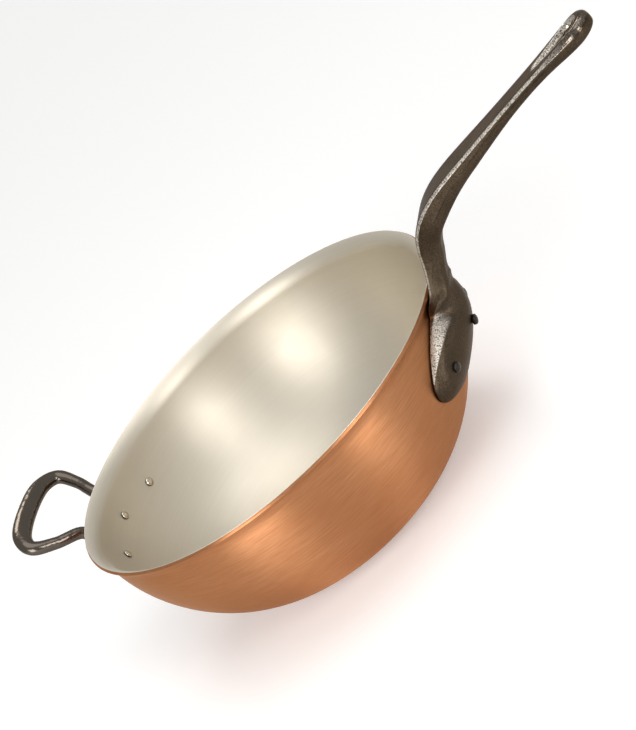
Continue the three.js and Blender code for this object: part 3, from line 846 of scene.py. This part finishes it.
def cast_iron(tree):
    """Tumbled cast iron: near-black brown with a fine sparkling grain.

    It is pale metal where it is ground, on worn bevels and round the hanging hole, partly as painted
    highlight; it is shiny round the hanging hole, and shiny and more silvery on the helper's loop, whose
    lighter colour is partly painted highlight. The grain is drawn as coarse as it needs to show.
    """
    grain = patches(tree, 0.9, 3.0, 0.7)
    tone = two_tones(tree, patches(tree, 14, 3.0), NOISE_SPAN, linear("#463c31"), linear("#574b3e"))
    dark = two_tones(tree, grain, (0.35, 0.65), linear("#352c22"), tone)

    spot = add(tree, "TexCoord")["Object"]
    along = add(tree, "SeparateXYZ", {0: spot})["X"]
    ring_start, ring_end = (place * MM for place in RING_POLISH_REACH)
    loop_end, loop_start = (place * MM for place in LOOP_POLISH_REACH)
    ring = add(tree, "MapRange", {"Value": along, "From Min": ring_start, "From Max": ring_end})["Result"]
    loop = add(tree, "MapRange", {
        "Value": along, "From Min": loop_end, "From Max": loop_start, "To Min": 1.0, "To Max": 0.0})["Result"]
    polish = add(tree, "Math", {0: ring, 1: loop}, operation="MAXIMUM")["Value"]

    # The helper's loop turns lighter and more silvery: polished metal, partly painted highlight on the bar
    silvery_and_sheen = add(tree, "Math", {0: loop, 1: LOOP_SILVER_AND_SHEEN}, operation="MULTIPLY")["Value"]
    dark = add(tree, "Mix", {"Factor": silvery_and_sheen, "A": dark, "B": linear("#625c55")}, data_type="RGBA")[2]
    # Pale metal on ground facets, worn bevels and the hanging hole, partly painted highlight
    bare = add(tree, "Attribute", attribute_name="bare")["Fac"]
    ground_and_sheen = add(tree, "MapRange", {"Value": grain, "From Min": 0.36, "From Max": 0.56})["Result"]
    shown = add(tree, "Math", {0: bare, 1: ground_and_sheen}, operation="MULTIPLY")["Value"]
    colour = add(tree, "Mix", {"Factor": shown, "A": dark, "B": linear("#ded6ca")}, data_type="RGBA")[2]

    rough = add(tree, "MapRange", {
        "Value": grain, "From Min": NOISE_SPAN[0], "From Max": NOISE_SPAN[1],
        "To Min": 0.30, "To Max": 0.46})["Result"]
    for place, smoothed in ((ring, RING_SMOOTHED), (loop, LOOP_SMOOTHED)):
        share = add(tree, "MapRange", {"Value": place, "To Min": 1.0, "To Max": smoothed})["Result"]
        rough = add(tree, "Math", {0: rough, 1: share}, operation="MULTIPLY")["Value"]

    depth = add(tree, "MapRange", {"Value": polish, "To Min": 0.55, "To Max": 0.08})["Result"]
    pitted = add(tree, "Bump", {"Height": grain, "Strength": depth, "Distance": 0.4 * MM})["Normal"]
    uneven = add(tree, "Math", {0: polish, 1: 0.5}, operation="MULTIPLY")["Value"]
    relief = add(tree, "Bump", {
        "Height": patches(tree, 7, 2.0), "Strength": uneven, "Distance": 1.0 * MM, "Normal": pitted})
    return {
        "Base Color": colour,
        "Roughness": rough,
        "Normal": relief["Normal"],
        "Metallic": 1.0,
        "Specular Tint": linear("#cfc8c2"),
    }


def bright_head(tree):
    """A shiny stainless rivet head, lightly scuffed."""
    scuff = patches(tree, 0.8, 2.0)
    rough = add(tree, "MapRange", {
        "Value": scuff, "From Min": NOISE_SPAN[0], "From Max": NOISE_SPAN[1], "To Min": 0.12, "To Max": 0.2})
    return {
        "Base Color": two_tones(tree, scuff, NOISE_SPAN, linear("#b8ae9b"), linear("#cdc5b4")),
        "Roughness": rough["Result"],
        "Metallic": 1.0,
    }


def dark_tail_and_rim_shade(tree):
    """A hammered rivet tail, darkened almost to black, and the painted shade round the rim of a rivet head.
    """
    grain = patches(tree, 0.9, 3.0)
    rough = add(tree, "MapRange", {
        "Value": grain, "From Min": NOISE_SPAN[0], "From Max": NOISE_SPAN[1], "To Min": 0.35, "To Max": 0.5})
    return {
        "Base Color": two_tones(tree, grain, NOISE_SPAN, linear("#1d1a16"), linear("#38322a")),
        "Roughness": rough["Result"],
        "Metallic": 0.8,
    }


def seen_ray(tree):
    """1 where the surroundings are seen, by the camera or in metal, and 0 where they give light."""
    path = add(tree, "LightPath")
    seen = add(tree, "Math", {0: path["Is Camera Ray"], 1: path["Is Glossy Ray"]}, operation="MAXIMUM")
    return add(tree, "Math", {0: seen["Value"], 1: path["Is Transmission Ray"]}, operation="MAXIMUM")["Value"]


def plain_floor(tree):
    """A pale matt floor that keeps the pan's shadow; a soft glow lifts it to white where it is seen."""
    glow = add(tree, "Math", {0: seen_ray(tree), 1: FLOOR_GLOW}, operation="MULTIPLY")["Value"]
    return {
        "Base Color": linear("#f2f2f1"),
        "Roughness": 0.9,
        "Specular IOR Level": 0.0,
        "Emission Color": (1, 1, 1, 1),
        "Emission Strength": glow,
    }


# Studio

def heading(azimuth, elevation):
    """The direction that lies at an azimuth and an elevation, in degrees."""
    az, el = math.radians(azimuth), math.radians(elevation)
    return Vector((math.cos(az) * math.cos(el), math.sin(az) * math.cos(el), math.sin(el)))


def facing_away(direction):
    """A turn that points a lamp against the direction, so that it shines from there."""
    return direction.to_track_quat("Z", "Y").to_matrix().to_4x4()


def softbox(name, azimuth, elevation, width, height, watts):
    """A rectangular lamp that faces the bowl from a direction."""
    lamp = bpy.data.lights.new(name, "AREA")
    lamp.shape = "RECTANGLE"
    lamp.size = width
    lamp.size_y = height
    lamp.energy = watts
    away = heading(azimuth, elevation)
    made = bpy.data.objects.new(name, lamp)
    made.matrix_world = Matrix.Translation(AIM + away * SOFTBOX_DISTANCE) @ facing_away(away)
    bpy.context.scene.collection.objects.link(made)


def sky_lamp(name, azimuth, elevation, spread, strength):
    """A lamp far away whose disc is as wide as the given angle."""
    lamp = bpy.data.lights.new(name, "SUN")
    lamp.energy = strength
    lamp.angle = math.radians(spread)
    made = bpy.data.objects.new(name, lamp)
    made.matrix_world = facing_away(heading(azimuth, elevation))
    bpy.context.scene.collection.objects.link(made)


def white_room():
    """A plain floor and a white sky, which lights less strongly than it shows in metal or to the camera."""
    bpy.ops.mesh.primitive_plane_add(size=FLOOR_SIZE, location=(0, 0, 0))
    floor = bpy.context.object
    floor.name = "floor"
    floor.data.materials.append(finished(plain_floor))

    world = bpy.context.scene.world or bpy.data.worlds.new("studio")
    bpy.context.scene.world = world
    world.use_nodes = True
    tree = world.node_tree
    mirrored = add(tree, "MapRange", {
        "Value": seen_ray(tree), "To Min": WORLD_LIGHT, "To Max": WORLD_SEEN})["Result"]
    camera_ray = add(tree, "LightPath")["Is Camera Ray"]
    shown = add(tree, "Math", {0: mirrored, 1: camera_ray}, operation="MAXIMUM")["Value"]
    sky = tree.nodes["Background"]
    sky.inputs["Color"].default_value = (1, 1, 1, 1)
    tree.links.new(shown, sky.inputs["Strength"])


def photo_camera():
    """The photographer's place: fitted to the lip's ellipse, the bowl's outline and both handles."""
    azimuth, roll = math.radians(CAMERA_AZIMUTH), math.radians(CAMERA_ROLL)
    width, height = PHOTO_PIXELS
    back = heading(CAMERA_AZIMUTH, CAMERA_ELEVATION)
    right = Vector((-math.sin(azimuth), math.cos(azimuth), 0))
    up = back.cross(right)
    side = right * math.cos(roll) - up * math.sin(roll)
    top = right * math.sin(roll) + up * math.cos(roll)
    rolled = Matrix((side, top, back)).transposed()
    off_centre = ((AIM_PIXEL[0] - width / 2) / FOCAL_PIXELS, -(AIM_PIXEL[1] - height / 2) / FOCAL_PIXELS, -1)
    swing = Vector((0, 0, -1)).rotation_difference(Vector(off_centre)).inverted().to_matrix()
    data = bpy.data.cameras.new("camera")
    data.sensor_width = 36
    data.lens = FOCAL_PIXELS * data.sensor_width / height
    made = bpy.data.objects.new("camera", data)
    made.matrix_world = Matrix.Translation(AIM + back * CAMERA_DISTANCE * MM) @ (rolled @ swing).to_4x4()
    bpy.context.scene.collection.objects.link(made)
    bpy.context.scene.camera = made


# Pieces

copper = finished(brushed_copper)
steel = finished(satin_steel)
iron = finished(cast_iron)
head = finished(bright_head)
tail = finished(dark_tail_and_rim_shade)
dress(sheet("copper_bowl", 0, COPPER), "copper_shell", "copper", copper)
dress(sheet("steel_bowl", COPPER + BOND, SHEET), "steel_lining", "stainless", steel)
dress(long_handle(), "long_handle", "cast_iron", iron)
dress(helper_handle(), "helper_handle", "cast_iron", iron)
for owner, facing, foot, places in (
        ("long_handle", 0, long_foot, LONG_RIVETS), ("helper_handle", math.pi, helper_foot, HELPER_RIVETS)):
    for side, along, depth, sink in places:
        node = f"{owner}_rivet_{side}"
        dress(rivet(f"{node}_piece", facing, along, depth, foot, sink), node, "rivet", head, tail)

white_room()
softbox("front_left", azimuth=-102, elevation=17, width=0.6, height=0.9, watts=11.2)
softbox("front_right", azimuth=-33, elevation=17, width=0.4, height=0.85, watts=7.6)
sky_lamp("overhead", azimuth=25, elevation=74, spread=56, strength=1.1)
sky_lamp("behind", azimuth=118, elevation=42, spread=20, strength=0.7)
photo_camera()
bpy.context.scene.view_settings.view_transform = "Standard"
